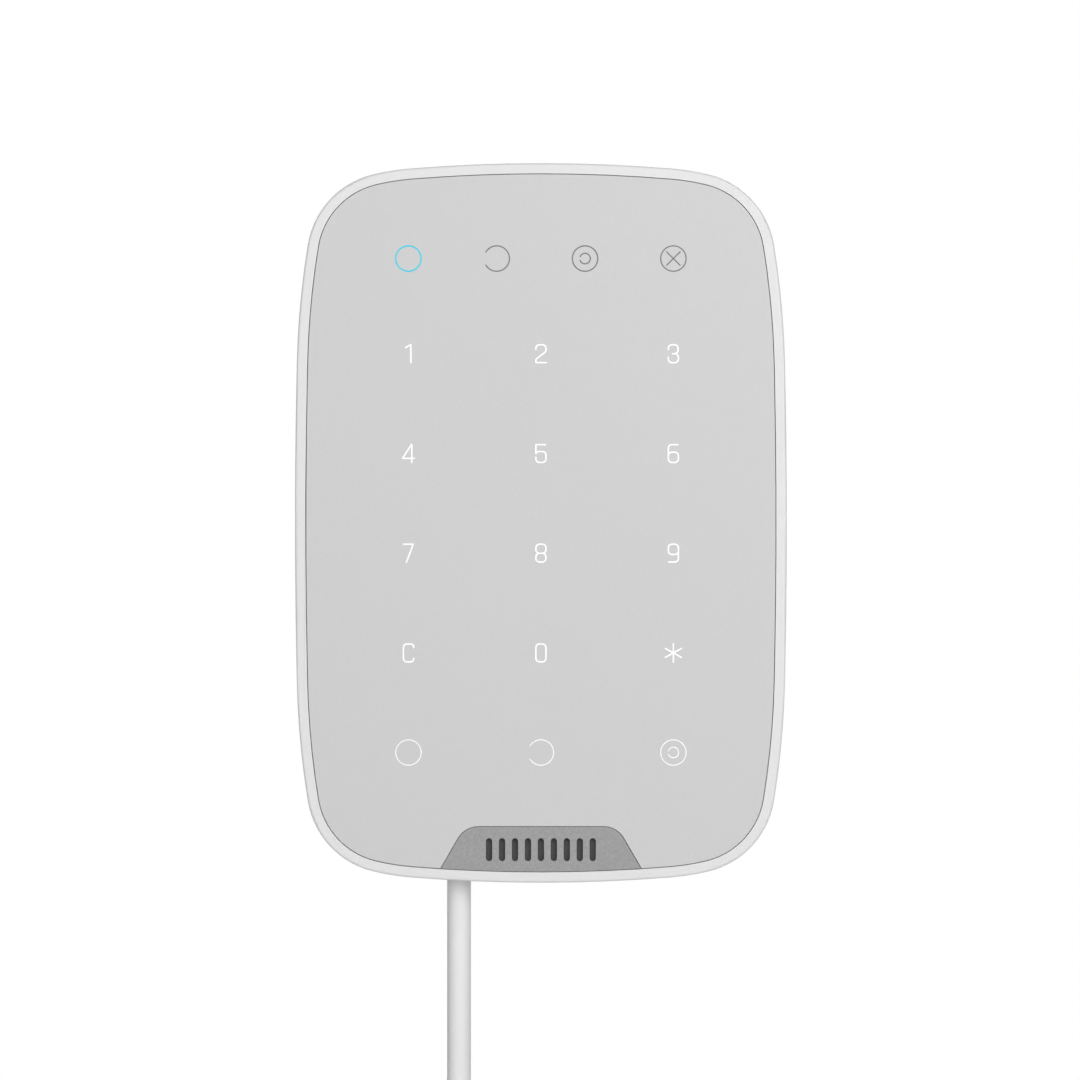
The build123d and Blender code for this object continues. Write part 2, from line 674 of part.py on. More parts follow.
with BuildPart() as tamper_plunger:
    with BuildSketch(Plane.YZ.offset(TAMPER[0])):
        with BuildLine():
            Line((-TIP_DEPTH, TAMPER[1]), (-TAIL_END, TAMPER[1]))
            Line((-TAIL_END, TAMPER[1]), (-TAIL_END, TAMPER[1] + TAIL_RADIUS))
            Line((-TAIL_END, TAMPER[1] + TAIL_RADIUS), (-COLLAR[1], TAMPER[1] + TAIL_RADIUS))
            Line((-COLLAR[1], TAMPER[1] + TAIL_RADIUS), (-COLLAR[1], TAMPER[1] + COLLAR_RADIUS))
            Line((-COLLAR[1], TAMPER[1] + COLLAR_RADIUS), (-COLLAR[0], TAMPER[1] + COLLAR_RADIUS))
            Line((-COLLAR[0], TAMPER[1] + COLLAR_RADIUS), (-COLLAR[0], TAMPER[1] + PLUNGER_RADIUS))
            Line(
                (-COLLAR[0], TAMPER[1] + PLUNGER_RADIUS),
                (-TIP_DEPTH - PLUNGER_RADIUS, TAMPER[1] + PLUNGER_RADIUS),
            )
            RadiusArc(
                (-TIP_DEPTH - PLUNGER_RADIUS, TAMPER[1] + PLUNGER_RADIUS),
                (-TIP_DEPTH, TAMPER[1]),
                PLUNGER_RADIUS,
            )
        make_face()
    revolve(axis=Axis((TAMPER[0], 0, TAMPER[1]), (0, 1, 0)))
save(tamper_plunger, "tamper_plunger")

SPRING = (1.75, 1.15)

with BuildPart() as tamper_spring:
    with BuildSketch(at_depth(COLLAR[1] + 0.02)):
        with Locations(TAMPER):
            Circle(SPRING[0])
            Circle(SPRING[1], mode=Mode.SUBTRACT)
    extrude(amount=SWITCH_FLOOR - COLLAR[1] - 0.04)
save(tamper_spring, "tamper_spring")

# ---------------------------------------------------------------- rear cover and what it carries

TROUGH_HALF = 3.6
TROUGH_WALL = 1.2
TROUGH_FLOOR = (6.6, 7.6)
TROUGH_LOW = -72.2
WINDOW_FOR_TERMINALS = ((-27.0, -3.0), (-57.5, -28.0))
TIE_Z = (-65.25, -62.75)
TIE_THICKNESS = 0.5
HOOKS = [(x, z) for x in (-30.0, 30.0) for z in (-8.0, 40.0)]
HOOK_HALF = 4.0
STEM = (-1.5, 1.5)
LIP_TOP = 4.5
LIP_DEPTH = (4.35, 5.4)
HOOK_FIT = 0.25
RAMP_HALF = 2.0
RAMP_LOW = TAMPER[1] - 1.7
RAMP_HEIGHT = SLIDE * PLUNGER_RATIO
POCKET_FLOOR = 3.2
INSERT_RADIUS = 2.1
INSERT_Z = (-70.7, -64.7)
INSERT_BOSS = (-70.9, -64.0)
COVER_NOTCH_TOP = -70.9
HEAD_ROOM = 1.0
COVER_HEAD_RADIUS = 2.0
COVER_HEAD_FIT = 0.3
TIE_SLOT_HALF = 0.4
TIE_SLOT_MARGIN = 0.25
TIE_HEAD_ROOM_X = 6.5
TIE_HEAD_ROOM_DEPTH = 5.2
TIE_HEAD_ROOM_MARGIN = 0.95
POCKET_MARGIN = 0.5
COVER_NOTCH_HALF = 8.8
INSERT_BOSS_HALF = 3.5
INSERT_BOSS_WALL = 3.0

with BuildPart() as rear_cover:
    with BuildSketch(at_depth(COVER_BACK)):
        outline(COVER_INSET)
    extrude(amount=COVER_FRONT - COVER_BACK)
    trough_outer = TROUGH_HALF + TROUGH_WALL
    (window_left, window_right), (window_low, window_high) = WINDOW_FOR_TERMINALS
    box_between(
        (CABLE_X - trough_outer, CABLE_X + trough_outer),
        (COVER_BACK, TROUGH_FLOOR[1]),
        (TROUGH_LOW, window_low),
    )
    box_between(
        (CABLE_X - TROUGH_HALF, CABLE_X + TROUGH_HALF),
        (0, TROUGH_FLOOR[0]),
        (-HEIGHT / 2, window_low),
        Mode.SUBTRACT,
    )
    with BuildSketch(at_depth(0)):
        with Locations(((window_left + window_right) / 2, (window_low + window_high) / 2)):
            RectangleRounded(window_right - window_left, window_high - window_low, 1.5)
    extrude(amount=COVER_FRONT, mode=Mode.SUBTRACT)
    # two slots in the trough's floor for the tie, and room for its head
    tie_slot_z = (TIE_Z[0] - TIE_SLOT_MARGIN, TIE_Z[1] + TIE_SLOT_MARGIN)
    for side in (-1, 1):
        slot_x = CABLE_X + side * (CABLE_RADIUS + 0.3)
        tie_slot_x = (slot_x - TIE_SLOT_HALF, slot_x + TIE_SLOT_HALF)
        box_between(tie_slot_x, TROUGH_FLOOR, tie_slot_z, Mode.SUBTRACT)
    head_room_x = (CABLE_X, CABLE_X + TIE_HEAD_ROOM_X)
    head_room_z = (TIE_Z[0] - TIE_HEAD_ROOM_MARGIN, TIE_Z[1] + TIE_HEAD_ROOM_MARGIN)
    box_between(head_room_x, (0, TIE_HEAD_ROOM_DEPTH), head_room_z, Mode.SUBTRACT)
    # slots for the bracket's hooks
    for x, z in HOOKS:
        slot_z = (z + STEM[0] - SLIDE - HOOK_FIT, z + STEM[1] + HOOK_FIT)
        slot_x = (x - HOOK_HALF - HOOK_FIT, x + HOOK_HALF + HOOK_FIT)
        box_between(slot_x, (0, COVER_FRONT), slot_z, Mode.SUBTRACT)
    # the pocket that runs over the tamper ramp, and the plunger's hole in it
    pocket_z = (RAMP_LOW - SLIDE - POCKET_MARGIN, TAMPER[1] + SLIDE + POCKET_MARGIN)
    pocket_x = (TAMPER[0] - RAMP_HALF - POCKET_MARGIN, TAMPER[0] + RAMP_HALF + POCKET_MARGIN)
    box_between(pocket_x, (0, POCKET_FLOOR), pocket_z, Mode.SUBTRACT)
    post(*TAMPER, PLUNGER_RADIUS + POCKET_MARGIN, 0, COVER_FRONT, Mode.SUBTRACT)
    # the boss for the locking screw's insert, above a notch for the bracket's lip
    boss_x = (LOCK_X - INSERT_BOSS_HALF, LOCK_X + INSERT_BOSS_HALF)
    box_between(boss_x, (COVER_BACK, LOCK_DEPTH + INSERT_BOSS_WALL), INSERT_BOSS)
    cover_notch = (LOCK_X - COVER_NOTCH_HALF, LOCK_X + COVER_NOTCH_HALF)
    box_between(cover_notch, (0, DEPTH), (-HEIGHT / 2, COVER_NOTCH_TOP), Mode.SUBTRACT)
    with BuildSketch(Plane.XY.offset(INSERT_BOSS[0])):
        with Locations((LOCK_X, -LOCK_DEPTH)):
            Circle(INSERT_RADIUS + 0.02)
    extrude(amount=INSERT_Z[1] + 0.1 - INSERT_BOSS[0], mode=Mode.SUBTRACT)
    for x, z in SCREW_COLUMNS:
        post(x, z, COVER_SCREW_RADIUS + COVER_HEAD_FIT, 0, COVER_FRONT, Mode.SUBTRACT)
        post(x, z, COVER_HEAD_RADIUS + COVER_HEAD_FIT, 0, COVER_BACK + HEAD_ROOM, Mode.SUBTRACT)
save(rear_cover, "rear_cover")

cross_head_screws(
    "cover_screws",
    SCREW_COLUMNS,
    head_back=COVER_BACK + 0.1,
    head_front=COVER_BACK + HEAD_ROOM,
    head_radius=COVER_HEAD_RADIUS,
    shank_radius=COVER_SCREW_RADIUS,
    tip=COVER_SCREW_END,
)

LOCK_RADIUS = 1.5
LOCK_FIT = 0.05

with BuildPart() as screw_insert:
    with BuildSketch(Plane.XY.offset(INSERT_Z[0])):
        with Locations((LOCK_X, -LOCK_DEPTH)):
            Circle(INSERT_RADIUS)
            Circle(LOCK_RADIUS + LOCK_FIT, mode=Mode.SUBTRACT)
    extrude(amount=INSERT_Z[1] - INSERT_Z[0])
save(screw_insert, "screw_insert")

LABEL_PLACE = (20, -40)
LABEL_SIZE = (30, 18)
LABEL_THICKNESS = 0.12

with BuildPart() as id_label:
    with BuildSketch(at_depth(COVER_BACK - LABEL_THICKNESS)):
        with Locations(LABEL_PLACE):
            RectangleRounded(*LABEL_SIZE, 1)
    extrude(amount=LABEL_THICKNESS)
save(id_label, "id_label")

TIE_HEAD_REACH = 6.0
TIE_HEAD_DEPTH = (2.2, 4.8)
TIE_HEAD_MARGIN = 0.25

with BuildPart() as cable_tie:
    with BuildSketch(Plane.XY.offset(TIE_Z[0])):
        strap = CABLE_RADIUS + 0.05 + TIE_THICKNESS
        strap_front = TROUGH_FLOOR[1] + 0.05 + TIE_THICKNESS
        with Locations((CABLE_X, -CABLE_DEPTH)):
            Circle(strap)
        with Locations((CABLE_X, -(CABLE_DEPTH + strap_front) / 2)):
            Rectangle(2 * strap, strap_front - CABLE_DEPTH)
        with Locations((CABLE_X, -CABLE_DEPTH)):
            Circle(strap - TIE_THICKNESS, mode=Mode.SUBTRACT)
        with Locations((CABLE_X, -(CABLE_DEPTH + strap_front - TIE_THICKNESS) / 2)):
            Rectangle(
                2 * (strap - TIE_THICKNESS),
                strap_front - TIE_THICKNESS - CABLE_DEPTH,
                mode=Mode.SUBTRACT,
            )
    extrude(amount=TIE_Z[1] - TIE_Z[0])
    tie_head_z = (TIE_Z[0] - TIE_HEAD_MARGIN, TIE_Z[1] + TIE_HEAD_MARGIN)
    box_between((CABLE_X + strap - 0.1, CABLE_X + TIE_HEAD_REACH), TIE_HEAD_DEPTH, tie_head_z)
save(cable_tie, "cable_tie")

JACKET_END = -60.0
CORE_RADIUS = 0.65
CORE_SPREAD = 0.85
CORE_NAMES = ["power_core", "ground_core", "data_a_core", "data_b_core"]
core_starts = [(-CORE_SPREAD, CORE_SPREAD), (-CORE_SPREAD, -CORE_SPREAD)]
core_starts += [(CORE_SPREAD, -CORE_SPREAD), (CORE_SPREAD, CORE_SPREAD)]

for core_name, way, (shift_x, shift_depth) in zip(CORE_NAMES, WAYS, core_starts):
    with BuildPart() as core:
        start = (CABLE_X + shift_x, -CABLE_DEPTH - shift_depth)
        with BuildLine():
            FilletPolyline(
                (*start, JACKET_END),
                (*start, JACKET_END + 2.5),
                (way, -ENTRY_DEPTH, -51),
                (way, -ENTRY_DEPTH, BLOCK_Z[0] + ENTRY_LENGTH - 0.5),
                radius=1.5,
            )
        with BuildSketch(Plane.XY.offset(JACKET_END)):
            with Locations(start):
                Circle(CORE_RADIUS)
        sweep()
    save(core, core_name)

# ---------------------------------------------------------------- wall bracket and its screw

BRACKET_HALF = 41.0
BRACKET_LOW = -62.5
BRACKET_HIGH = 68.0
BRACKET_CORNER = 14.0
WALL_SCREWS = [(x, z) for x in (-33.0, 33.0) for z in (-56.0, 56.0)]
WALL_SCREW_RADIUS = 2.2
WALL_SCREW_SINK = 3.6
CABLE_WINDOW = ((-30.0, -4.0), (-52.0, -22.0))
ISLAND = (12.0, 16.0)
ISLAND_SIZE = (22.0, 20.0)
ISLAND_SLOT = 1.2
BRIDGE = 1.6
TAMPER_FIXING = (17.5, 16.0)
TAMPER_FIXING_RADIUS = 2.2
TONGUE_HALF = 7.5
LIP_Z = (-72.9, -71.3)

with BuildPart() as wall_bracket:
    with BuildSketch(at_depth(0)):
        with Locations((0, (BRACKET_LOW + BRACKET_HIGH) / 2)):
            RectangleRounded(2 * BRACKET_HALF, BRACKET_HIGH - BRACKET_LOW, BRACKET_CORNER)
        with Locations((LOCK_X, (BRACKET_LOW + LIP_Z[0]) / 2 + 2)):
            Rectangle(2 * TONGUE_HALF, BRACKET_LOW - LIP_Z[0] + 4)
    extrude(amount=BRACKET_FRONT)
    # the window for the cable and the terminals, and its way out at the bottom edge
    with BuildSketch(at_depth(0)):
        (left, right), (low, high) = CABLE_WINDOW
        with Locations(((left + right) / 2, (low + high) / 2)):
            RectangleRounded(right - left, high - low, 3)
        with Locations((CABLE_X, (BRACKET_LOW + low) / 2)):
            Rectangle(8, low - BRACKET_LOW + 6)
    extrude(amount=BRACKET_FRONT, mode=Mode.SUBTRACT)
    # the island that breaks away when the keypad is torn off the wall
    with BuildSketch(at_depth(0)):
        with Locations(ISLAND):
            RectangleRounded(ISLAND_SIZE[0] + 2 * ISLAND_SLOT, ISLAND_SIZE[1] + 2 * ISLAND_SLOT, 3)
            RectangleRounded(*ISLAND_SIZE, 2, mode=Mode.SUBTRACT)
            Rectangle(BRIDGE, ISLAND_SIZE[1] + 4, mode=Mode.SUBTRACT)
            Rectangle(ISLAND_SIZE[0] + 4, BRIDGE, mode=Mode.SUBTRACT)
    extrude(amount=BRACKET_FRONT, mode=Mode.SUBTRACT)
    post(*TAMPER_FIXING, TAMPER_FIXING_RADIUS, 0, BRACKET_FRONT, Mode.SUBTRACT)
    # the ramp under the tamper plunger
    with BuildSketch(Plane.YZ.offset(TAMPER[0] - RAMP_HALF)):
        with BuildLine():
            Polyline(
                (-BRACKET_FRONT + 0.2, RAMP_LOW),
                (-BRACKET_FRONT - RAMP_HEIGHT, RAMP_LOW),
                (-BRACKET_FRONT - RAMP_HEIGHT, TAMPER[1]),
                (-BRACKET_FRONT, TAMPER[1] + SLIDE),
                (-BRACKET_FRONT + 0.2, TAMPER[1] + SLIDE),
                close=True,
            )
        make_face()
    extrude(amount=2 * RAMP_HALF)
    # four hooks with their lips up
    for x, z in HOOKS:
        sides = (x - HOOK_HALF, x + HOOK_HALF)
        box_between(sides, (BRACKET_FRONT - 0.2, LIP_DEPTH[1]), (z + STEM[0], z + STEM[1]))
        box_between(sides, LIP_DEPTH, (z + STEM[0], z + LIP_TOP))
    # the lip that the locking screw passes through
    tongue = (LOCK_X - TONGUE_HALF, LOCK_X + TONGUE_HALF)
    box_between(tongue, (BRACKET_FRONT - 0.2, 7.3), LIP_Z)
    with BuildSketch(Plane.XY.offset(LIP_Z[0] - 1)):
        with Locations((LOCK_X, -LOCK_DEPTH)):
            Circle(LOCK_RADIUS + LOCK_FIT)
    extrude(amount=4, mode=Mode.SUBTRACT)
    for x, z in WALL_SCREWS:
        with Locations(at_depth(BRACKET_FRONT) * Pos(x, z)):
            CounterSinkHole(WALL_SCREW_RADIUS, WALL_SCREW_SINK, depth=BRACKET_FRONT, counter_sink_angle=90)
save(wall_bracket, "wall_bracket")

LOCK_HEAD = (-74.1, -72.92)
LOCK_HEAD_RADIUS = 2.1
LOCK_TIP = -66.5

with BuildPart() as locking_screw:
    with BuildSketch(Plane.XY.offset(LOCK_HEAD[0])):
        with Locations((LOCK_X, -LOCK_DEPTH)):
            Circle(LOCK_HEAD_RADIUS)
    extrude(amount=LOCK_HEAD[1] - LOCK_HEAD[0])
    fillet(locking_screw.edges().sort_by(Axis.Z)[0], 0.3)
    with BuildSketch(Plane.XY.offset(LOCK_HEAD[0])):
        with Locations((LOCK_X, -LOCK_DEPTH)):
            Rectangle(2.4, 0.5)
            Rectangle(0.5, 2.4)
    extrude(amount=0.7, mode=Mode.SUBTRACT)
    with BuildSketch(Plane.XY.offset(LOCK_HEAD[1] - 0.01)):
        with Locations((LOCK_X, -LOCK_DEPTH)):
            Circle(LOCK_RADIUS)
    extrude(amount=LOCK_TIP - LOCK_HEAD[1])
    chamfer(locking_screw.edges().sort_by(Axis.Z)[-1], 0.3)
save(locking_screw, "locking_screw")

# ---------------------------------------------------------------- bus cable, hanging

# The route is chosen by hand: straight down from the tie, then leaning left into the coil's outer turn.
BEND_POINT = (CABLE_X, -CABLE_DEPTH, -131.0)
LEAN = (-26.39, -CABLE_DEPTH, -167.87)
COIL_ENTRY = (-37.56, -CABLE_DEPTH, -183.24)
START = (CABLE_X, -CABLE_DEPTH, JACKET_END)
cable_route = [Vector(place) for place in (START, BEND_POINT, LEAN, COIL_ENTRY)]
cable_radii = []
for before, corner, after in zip(cable_route, cable_route[1:], cable_route[2:]):
    turn = (corner - before).get_angle(after - corner)
    shorter = min((corner - before).length, (after - corner).length)
    cable_radii.append(0.45 * shorter / tan(radians(turn / 2)))
print("cable bend radii", [round(radius, 1) for radius in cable_radii])

with BuildPart() as bus_cable:
    with BuildLine() as cable_line:
        FilletPolyline(*cable_route, radius=cable_radii)
    with BuildSketch(Plane.XY.offset(JACKET_END)):
        with Locations((CABLE_X, -CABLE_DEPTH)):
            Circle(CABLE_RADIUS)
    sweep()
save(bus_cable, "bus_cable")
cable_length = cable_line.wires()[0].length
print("tube volume over section x length", bus_cable.part.volume / (pi * CABLE_RADIUS**2 * cable_length))

# The bundle's section is that of three turns next to the wall, with two more in the grooves between them.
COIL_CENTRE = (-11.27, -202.34)
COIL_REAR_TURNS = [32.5, 27.5, 22.5]
COIL_FRONT_TURNS = [25.0, 30.0]
COIL_FRONT_DEPTH = CABLE_DEPTH + 4.33
coil_rear = CABLE_DEPTH - CABLE_RADIUS
coil_front = COIL_FRONT_DEPTH + CABLE_RADIUS
coil_inner = min(COIL_REAR_TURNS) - CABLE_RADIUS
coil_outer = max(COIL_REAR_TURNS) + CABLE_RADIUS
COIL_SHOULDER = 5.6


def coil_section(grow):
    """The outline of the bundled turns across the ring, at the top of the coil, grown outwards."""
    top = COIL_CENTRE[1]
    shoulder = -COIL_SHOULDER
    corners = [
        (-coil_rear + grow, top + coil_inner - grow),
        (-coil_rear + grow, top + coil_outer + grow),
        (shoulder, top + coil_outer + grow),
        (-coil_front - grow, top + coil_outer - CABLE_RADIUS + grow / 2),
        (-coil_front - grow, top + coil_inner + CABLE_RADIUS - grow / 2),
        (shoulder, top + coil_inner - grow),
    ]
    with BuildLine() as border:
        FilletPolyline(*corners, radius=1.8, close=True)
    make_face(border.edges())


with BuildPart() as bus_cable_coil:
    with BuildSketch(Plane.YZ.offset(COIL_CENTRE[0])):
        coil_section(0)
    revolve(axis=Axis((COIL_CENTRE[0], 0, COIL_CENTRE[1]), (0, 1, 0)))
save(bus_cable_coil, "bus_cable_coil")

COIL_TIE_WIDTH = 7.0
COIL_TIE_THICKNESS = 0.7

with BuildPart() as coil_tie:
    with BuildSketch(Plane.YZ.offset(COIL_CENTRE[0] - COIL_TIE_WIDTH / 2)):
        coil_section(COIL_TIE_THICKNESS)
    extrude(amount=COIL_TIE_WIDTH)
    with BuildSketch(Plane.YZ.offset(COIL_CENTRE[0] - COIL_TIE_WIDTH / 2)):
        coil_section(0)
    extrude(amount=COIL_TIE_WIDTH, mode=Mode.SUBTRACT)
save(coil_tie, "coil_tie")

TAIL_START = COIL_CENTRE[1] - 12.0
TAIL_Z = COIL_CENTRE[1] - 40.0
TAIL_X = COIL_CENTRE[0] - COIL_FRONT_TURNS[-1]

with BuildPart() as bus_cable_tail:
    with BuildSketch(Plane.XY.offset(TAIL_Z)):
        with Locations((TAIL_X, -COIL_FRONT_DEPTH)):
            Circle(CABLE_RADIUS)
    extrude(amount=TAIL_START - TAIL_Z)
save(bus_cable_tail, "bus_cable_tail")

TAIL_CORE_LENGTH = 10.0
TAIL_CORE_RADIUS = 0.6

with BuildPart() as tail_cores:
    with BuildSketch(Plane.XY.offset(TAIL_Z)):
        with Locations((TAIL_X, -COIL_FRONT_DEPTH)):
            with GridLocations(2 * CORE_SPREAD, 2 * CORE_SPREAD, 2, 2):
                Circle(TAIL_CORE_RADIUS)
    extrude(amount=-TAIL_CORE_LENGTH)
save(tail_cores, "tail_cores")
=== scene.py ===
import json
from math import cos, pi, radians, sin, sqrt

import bmesh
import bpy
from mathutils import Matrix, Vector


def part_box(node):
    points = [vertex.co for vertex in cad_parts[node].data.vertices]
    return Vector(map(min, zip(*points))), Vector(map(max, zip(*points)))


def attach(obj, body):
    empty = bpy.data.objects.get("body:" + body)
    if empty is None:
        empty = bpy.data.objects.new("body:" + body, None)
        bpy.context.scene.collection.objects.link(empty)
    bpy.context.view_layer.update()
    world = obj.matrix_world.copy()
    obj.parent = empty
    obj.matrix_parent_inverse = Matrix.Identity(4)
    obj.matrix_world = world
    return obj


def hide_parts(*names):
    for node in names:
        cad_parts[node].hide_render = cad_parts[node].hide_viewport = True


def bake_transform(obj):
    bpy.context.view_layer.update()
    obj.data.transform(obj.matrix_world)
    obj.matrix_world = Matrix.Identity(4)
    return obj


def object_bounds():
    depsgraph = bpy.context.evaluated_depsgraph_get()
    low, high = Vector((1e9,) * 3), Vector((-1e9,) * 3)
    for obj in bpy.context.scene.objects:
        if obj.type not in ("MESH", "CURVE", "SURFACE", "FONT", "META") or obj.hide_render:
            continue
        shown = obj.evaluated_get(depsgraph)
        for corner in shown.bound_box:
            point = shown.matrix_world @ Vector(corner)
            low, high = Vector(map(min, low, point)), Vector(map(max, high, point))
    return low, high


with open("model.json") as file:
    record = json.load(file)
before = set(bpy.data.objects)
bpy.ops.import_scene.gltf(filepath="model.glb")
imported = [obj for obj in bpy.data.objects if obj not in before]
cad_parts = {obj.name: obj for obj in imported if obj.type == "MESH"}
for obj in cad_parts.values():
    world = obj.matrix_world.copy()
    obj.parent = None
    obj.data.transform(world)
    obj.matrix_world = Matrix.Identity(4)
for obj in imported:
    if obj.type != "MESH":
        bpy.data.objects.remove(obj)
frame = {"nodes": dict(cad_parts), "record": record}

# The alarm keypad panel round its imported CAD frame, in metres: X right, Z up, the wall is the plane Y = 0.

cad_low, cad_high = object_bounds()
MM = 0.001
nodes = frame["nodes"]
slot_of = {part["node"]: part["material_slot"] for part in frame["record"]["subparts"]}
bodies = frame["record"]["behaviour"]["bodies"]
body_of = {node: body for body, members in bodies.items() for node in members}

# ---------------------------------------------------------------- camera, lights and stage

VIEW_WIDTH = 0.225
VIEW_CENTRE = (-0.19 * MM, -3.57 * MM)
CAMERA_DISTANCE = 1.2
SENSOR = 36.0
front_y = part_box("front_case")[0].y

camera_data = bpy.data.cameras.new("camera")
camera_data.sensor_width = SENSOR
camera_data.lens = SENSOR * CAMERA_DISTANCE / VIEW_WIDTH
camera = bpy.data.objects.new("camera", camera_data)
bpy.context.collection.objects.link(camera)
camera.location = (VIEW_CENTRE[0], front_y - CAMERA_DISTANCE, VIEW_CENTRE[1])
camera.rotation_euler = (pi / 2, 0, 0)
bpy.context.scene.camera = camera
bpy.context.scene.view_settings.view_transform = "Standard"


def area_light(name, place, target, size, power):
    data = bpy.data.lights.new(name, "AREA")
    data.shape = "DISK"
    data.size = size
    data.energy = power
    light = bpy.data.objects.new(name, data)
    bpy.context.collection.objects.link(light)
    light.location = place
    light.rotation_euler = (Vector(target) - Vector(place)).to_track_quat("-Z", "Y").to_euler()


area_light("key_light", place=(0.36, -1.0, 0.27), target=(0, 0, 0), size=0.6, power=4.6)
area_light("fill_light", place=(-0.5, -1.15, 0.05), target=(0, 0, 0), size=0.9, power=1.5)
area_light("back_light", place=(0.3, 1.3, 0.7), target=(0, 0, -0.05), size=1.0, power=9.0)

world = bpy.data.worlds.new("studio")
bpy.context.scene.world = world
world.use_nodes = True
world_tree = world.node_tree
sky = world_tree.nodes["Background"]
sky.inputs["Color"].default_value = (1, 1, 1, 1)


def world_node(kind, source, socket, **values):
    node = world_tree.nodes.new(kind)
    for key, value in values.items():
        node.inputs[key.replace("_", " ")].default_value = value
    world_tree.links.new(source, node.inputs[socket])
    return node


# the light of the room by direction, from the front (Y = -1) over the sides to the back (Y = 1);
# the camera itself sees plain white
ROOM_LEVELS = ((0.0, 0.95), (0.5, 0.0), (1.0, 0.55))
direction = world_tree.nodes.new("ShaderNodeTexCoord")
split = world_node("ShaderNodeSeparateXYZ", direction.outputs["Generated"], "Vector")
share = world_node("ShaderNodeMapRange", split.outputs["Y"], "Value", From_Min=-1, From_Max=1)
room = world_node("ShaderNodeValToRGB", share.outputs["Result"], "Fac")
room.color_ramp.elements.new(ROOM_LEVELS[1][0])
for element, (place, brightness) in zip(room.color_ramp.elements, ROOM_LEVELS):
    element.position = place
    element.color = (brightness, brightness, brightness, 1)
ray = world_tree.nodes.new("ShaderNodeLightPath")
level = world_node("ShaderNodeMapRange", ray.outputs["Is Camera Ray"], "Value", To_Max=1.0)
world_tree.links.new(room.outputs["Color"], level.inputs["To Min"])
world_tree.links.new(level.outputs["Result"], sky.inputs["Strength"])

# ---------------------------------------------------------------- materials


class Finish:
    """A node material: a Principled shader, with helpers that read object coordinates in millimetres."""

    def __init__(self, name, roughness, metallic=0.0, specular=0.5):
        self.material = bpy.data.materials.new(name)
        self.material.use_nodes = True
        self.tree = self.material.node_tree
        self.shader = self.tree.nodes["Principled BSDF"]
        self.shader.inputs["Roughness"].default_value = roughness
        self.shader.inputs["Metallic"].default_value = metallic
        self.shader.inputs["Specular IOR Level"].default_value = specular
        place = self.add("ShaderNodeTexCoord")
        scale = self.add("ShaderNodeVectorMath", operation="SCALE")
        scale.inputs["Scale"].default_value = 1 / MM
        self.link(place.outputs["Object"], scale.inputs["Vector"])
        self.place = scale.outputs["Vector"]
        self.height = None

    def add(self, kind, **settings):
        node = self.tree.nodes.new(kind)
        for key, value in settings.items():
            setattr(node, key, value)
        return node

    def link(self, source, target):
        self.tree.links.new(source, target)

    def set(self, **values):
        for key, value in values.items():
            self.shader.inputs[key.replace("_", " ")].default_value = value
        return self

    def noise(self, size, detail=2.0, stretch=(1, 1, 1)):
        """Noise from 0 to 1 whose blobs are about size mm, stretched along the axes."""
        mapping = self.add("ShaderNodeMapping")
        mapping.inputs["Scale"].default_value = [1 / (size * s) for s in stretch]
        noise = self.add("ShaderNodeTexNoise")
        noise.inputs["Scale"].default_value = 1.0
        noise.inputs["Detail"].default_value = detail
        self.link(self.place, mapping.inputs["Vector"])
        self.link(mapping.outputs["Vector"], noise.inputs["Vector"])
        return noise.outputs["Fac"]

    def ramp(self, value, low, high, start=0.35, end=0.65):
        """A colour that runs from low to high as the value runs from start to end."""
        ramp = self.add("ShaderNodeValToRGB")
        ramp.color_ramp.elements[0].position = start
        ramp.color_ramp.elements[1].position = end
        ramp.color_ramp.elements[0].color = (*low, 1)
        ramp.color_ramp.elements[1].color = (*high, 1)
        self.link(value, ramp.inputs["Fac"])
        return ramp.outputs["Color"]

    def span(self, value, low, high, start=0.3, end=0.7):
        """A number that runs from low to high as the value runs from start to end."""
        span = self.add("ShaderNodeMapRange")
        for key, number in (("From Min", start), ("From Max", end), ("To Min", low), ("To Max", high)):
            span.inputs[key].default_value = number
        self.link(value, span.inputs["Value"])
        return span.outputs["Result"]

    def mix(self, factor, first, second):
        mix = self.add("ShaderNodeMix", data_type="RGBA")
        self.link(factor, mix.inputs["Factor"])
        for source, socket in ((first, mix.inputs[6]), (second, mix.inputs[7])):
            if isinstance(source, tuple):
                socket.default_value = (*source, 1)
            else:
                self.link(source, socket)
        return mix.outputs[2]

    def math(self, operation, first, second=0.0):
        node = self.add("ShaderNodeMath", operation=operation)
        for source, socket in ((first, node.inputs[0]), (second, node.inputs[1])):
            if isinstance(source, (int, float)):
                socket.default_value = source
            else:
                self.link(source, socket)
        return node.outputs["Value"]

    def colour(self, source):
        self.link(source, self.shader.inputs["Base Color"])
        return self

    def rough(self, source):
        self.link(source, self.shader.inputs["Roughness"])
        return self

    def bump(self, source, depth, strength=1.0):
        """Raises the surface by depth mm where the source is 1. Calls add up."""
        bump = self.add("ShaderNodeBump")
        bump.inputs["Distance"].default_value = depth * MM
        bump.inputs["Strength"].default_value = strength
        self.link(source, bump.inputs["Height"])
        if self.height:
            self.link(self.height, bump.inputs["Normal"])
        self.height = bump.outputs["Normal"]
        self.link(self.height, self.shader.inputs["Normal"])
        return self


def shade(colour, factor):
    return tuple(min(1.0, channel * factor) for channel in colour)


